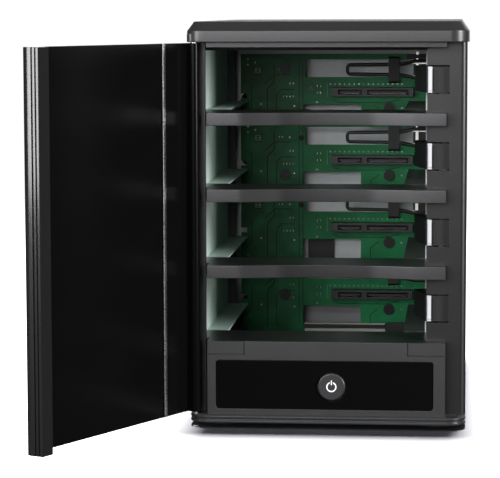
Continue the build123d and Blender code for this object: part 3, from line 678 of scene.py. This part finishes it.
def backplane_parts():
    """Chip capacitors and resistors beside each connector, with tinned ends."""
    body, ends = bmesh.new(), bmesh.new()
    half_height = 0.42
    for floor in FLOORS.values():
        for x, z in CHIPS:
            for shape, half_length, lift in ((body, 0.62, 0.55), (ends, 1.0, 0.5)):
                brick(shape, (x - half_length, x + half_length), (BOARD_Y - lift, IN_BOARD),
                      (floor + z - half_height, floor + z + half_height))
    piece_from("backplane_chips", body, "case", "moulded_black")
    piece_from("backplane_chip_ends", ends, "case", "solder_tin")


def guide_strips():
    """Bright strips of the ejector guide, with a painted glow of their own, absent in the lowest
    bay, on their black carrier.
    """
    back, strips = bmesh.new(), bmesh.new()
    carrier, on_carrier = (BOARD_Y - 0.35, IN_BOARD), (BOARD_Y - 0.5, BOARD_Y - 0.34)
    step, top = 21.8, 29.5
    for bay, floor in FLOORS.items():
        brick(back, (33.4, 44.2), carrier, (floor + step, min(floor + top, CARRIER_TOP)))
        brick(back, (37.2, 44.2), carrier, (floor + 12.2, floor + step))
        if bay == 4:
            continue
        for sides, low, high in STRIPS:
            brick(strips, sides, on_carrier, (floor + low, min(floor + high, STRIP_TOP)))
    piece_from("guide_carrier", back, "case", "moulded_black")
    piece_from("guide_strips", strips, "case", "clip_with_painted_glow")


def lower_board_parts():
    """Black and white strips and a black part under the lowest bay, and one behind the board."""
    dark, pale = bmesh.new(), bmesh.new()
    strip, seam = (-20.5, 22.4), 26.4
    brick(dark, strip, (BOARD_Y - 3.4, BOARD_Y), (24.6, seam))
    brick(dark, (23.2, 32.1), (BOARD_Y - 2.2, IN_BOARD), (22.7, 27.4))
    brick(dark, (-19.5, -5.6), (57.6, 61.6), (60.6, 72.4))
    brick(pale, strip, (BOARD_Y - 3.3, BOARD_Y), (seam, 27.0))
    piece_from("socket_shroud", dark, "case", "moulded_black")
    piece_from("socket_key_strip", pale, "case", "white_nylon")


def port_contacts():
    """Gold fingers in the network socket and on the tongues of the stacked ports."""
    bm = bmesh.new()
    network_x, network_pitch, stack_x, stack_pitch = -14.0, 1.02, 18.0, 2.4
    for k in range(8):
        x = network_x + (k - 3.5) * network_pitch
        brick(bm, (x - 0.2, x + 0.2), (93.0, 104.0), (20.3, 21.0))
    for port_bottom in (9.6, 18.6):
        tongue = (port_bottom + 3.05, port_bottom + 3.22)
        for k in range(4):
            x = stack_x + (k - 1.5) * stack_pitch
            brick(bm, (x - 0.5, x + 0.5), (96.0, 104.6), tongue)
    piece_from("port_contacts", bm, "case", "gold_plate")


def door_trim_bead():
    """Low, half-oval bright bead along the trim of the door's hinge rail."""
    reach, half_width, foot, rise = 21.6, 1.3, -2.24, 0.26
    bm = bmesh.new()
    rows = []
    for z in (5.0, 178.4):
        row = []
        for k in range(9):
            t = pi * k / 8
            spot = (DOOR_AXIS + DOOR_ALONG * (reach + half_width * cos(t))
                    + DOOR_INWARD * (foot + rise * sin(t)))
            row.append(bm.verts.new((spot.x * MM, spot.y * MM, z * MM)))
        rows.append(row)
    for k in range(9):
        a, b = k, (k + 1) % 9
        bm.faces.new((rows[0][a], rows[0][b], rows[1][b], rows[1][a]))
    bm.faces.new(rows[0])
    bm.faces.new(rows[1])
    piece_from("door_trim_bead", bm, "door", "bright_steel")


def wire_guard():
    """Round welded rings and four spokes over the fan, standing for the flat guard."""
    bm = bmesh.new()
    middle, wire = (0.0, 106.8, 109.6), 0.8
    spoke, spoke_middle, eye_reach, eye_radius = 47.0, 33.0, 58.3, 2.5
    for radius in (10.0, 18.0, 26.0, 34.0, 42.0):
        ring(bm, middle, radius, wire)
    for k in range(4):
        turned = Matrix.Rotation(radians(45 + 90 * k), 4, "Y")
        placed = Matrix.Translation(Vector(middle) * MM) @ turned
        bar = bmesh.ops.create_cone(bm, cap_ends=True, segments=10, radius1=wire * MM,
                                    radius2=wire * MM, depth=spoke * MM)["verts"]
        bmesh.ops.translate(bm, verts=bar, vec=(0, 0, spoke_middle * MM))
        bmesh.ops.transform(bm, verts=bar, matrix=placed)
        eye = placed @ Vector((0, 0, eye_reach * MM))
        ring(bm, (eye.x / MM, middle[1], eye.z / MM), eye_radius, wire, turns=24)
    for face in bm.faces:
        face.smooth = len(face.verts) == 4
    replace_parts(piece_from("wire_guard", bm, "case", "bright_steel"), "fan_guard")


backplane_tracks()
backplane_legends()
backplane_parts()
guide_strips()
lower_board_parts()
port_contacts()
door_trim_bead()
wire_guard()
FIRST_JOINT, JOINT_PITCH, JOINTS = -7.0, 2.54, 16
studs("solder_joints",
      [(FIRST_JOINT + JOINT_PITCH * k, BOARD_Y, floor + 8.6)
       for floor in FLOORS.values() for k in range(JOINTS)],
      0.36, 0.5, "solder_tin")
studs("plated_holes", [(x, BOARD_Y, floor + z) for floor in FLOORS.values() for x, z in HOLES],
      0.45, 0.16, "solder_tin")
studs("test_spots", [(-22.4, BOARD_Y, z) for z in (126.0, 90.1, 54.2)],
      1.5, 0.2, "track_green", sides=24)


# ---------------------------------------------------------------- studio
def studio_floor():
    """A pale floor that fades out into the white surroundings and sends no light back."""
    bm = bmesh.new()
    bmesh.ops.create_circle(bm, cap_ends=True, segments=96, radius=FLOOR_RADIUS)
    bmesh.ops.translate(bm, verts=bm.verts, vec=(0, 0, floor_z))
    floor = bpy.data.objects.new("studio_floor", mesh_from(bm, "studio_floor"))
    bpy.context.scene.collection.objects.link(floor)
    made = Finish("studio_paper", roughness=0.9, specular_ior_level=0.0)
    paper = made.noise(4 * MM, 2)
    made.drive("Base Color", made.mix(paper, grey(0.93), grey(0.95)))
    reach = made.node("ShaderNodeVectorMath", {0: made.place}, output="Value", operation="LENGTH")
    fade_middle, fade_half = 0.6 * FLOOR_RADIUS, 0.3 * FLOOR_RADIUS
    made.drive("Alpha", 1 - reach.above(fade_middle, fade_half))
    floor.data.materials.append(made.material)
    floor.visible_diffuse = False
    floor.visible_glossy = False
    return floor


def softbox(name, place, target, width, height, power, only=False, shades=()):
    """An area light that spares the floor or, with only, lights nothing else; shades block it."""
    lamp = bpy.data.lights.new(name, "AREA")
    lamp.shape = "RECTANGLE"
    lamp.size = width
    lamp.size_y = height
    lamp.energy = power
    light = bpy.data.objects.new(name, lamp)
    bpy.context.scene.collection.objects.link(light)
    light.location = place
    light.rotation_euler = (Vector(target) - Vector(place)).to_track_quat("-Z", "Y").to_euler()
    light.visible_camera = False
    group = bpy.data.collections.new(name + "_receivers")
    group.objects.link(floor)
    light.light_linking.receiver_collection = group
    if only:
        blockers = bpy.data.collections.new(name + "_blockers")
        for piece in shades:
            blockers.objects.link(piece)
        light.light_linking.blocker_collection = blockers
    else:
        group.collection_objects[0].light_linking.link_state = "EXCLUDE"


def surroundings():
    """White for the eye, near-dark for the light that falls on the object."""
    world = bpy.data.worlds.new("studio")
    bpy.context.scene.world = world
    world.use_nodes = True
    world.node_tree.nodes.clear()
    root = Socket(world.node_tree)
    eye = root.node("ShaderNodeLightPath", output="Is Camera Ray")
    dim = root.node("ShaderNodeBackground", {"Color": (0.9, 0.95, 1.0, 1), "Strength": 0.045})
    white = root.node("ShaderNodeBackground", {"Color": (1, 1, 1, 1), "Strength": 1.05})
    shown = root.node("ShaderNodeMixShader", {0: eye, 1: dim, 2: white})
    root.node("ShaderNodeOutputWorld", {"Surface": shown})


def eye_level_camera():
    """A long lens a little right of centre, looking slightly down and to the left."""
    lens = bpy.data.cameras.new("camera")
    lens.lens = 164.44
    lens.sensor_width = 36.0
    eye, heading, tilt, roll = (0.06053, -1.16828, floor_z + 0.19613), 5.204, -5.719, -0.146
    camera = bpy.data.objects.new("camera", lens)
    bpy.context.scene.collection.objects.link(camera)
    turn = (Matrix.Rotation(radians(heading), 4, "Z") @ Matrix.Rotation(radians(90 + tilt), 4, "X")
            @ Matrix.Rotation(radians(roll), 4, "Z"))
    camera.matrix_world = Matrix.Translation(eye) @ turn
    bpy.context.scene.camera = camera


floor = studio_floor()
surroundings()
middle = (0, -0.05, 0.1)
for name, place, width, height, power in (
        ("front_softbox", (-0.58, -1.62, 0.50), 1.5, 0.7, 22.0),
        ("left_softbox", (-1.21, -0.91, 0.40), 0.4, 0.8, 13.0),
        ("right_softbox", (1.2, -0.7, 0.45), 0.4, 0.8, 26.0),
        ("back_softbox", (0.3, 1.7, 0.7), 2.4, 1.4, 22.0)):
    softbox(name, place, middle, width, height, power)
case_shades = [piece for piece in bpy.context.scene.objects
               if piece.name in ("top_cap_eased", "base_plate_eased", "right_side_panel_eased")]
softbox("floor_softbox", (0, 0.16, 1.8), (0, 0.16, 0), 0.3, 0.3, 95.0,
        only=True, shades=case_shades)
eye_level_camera()
bpy.context.scene.view_settings.view_transform = "Standard"
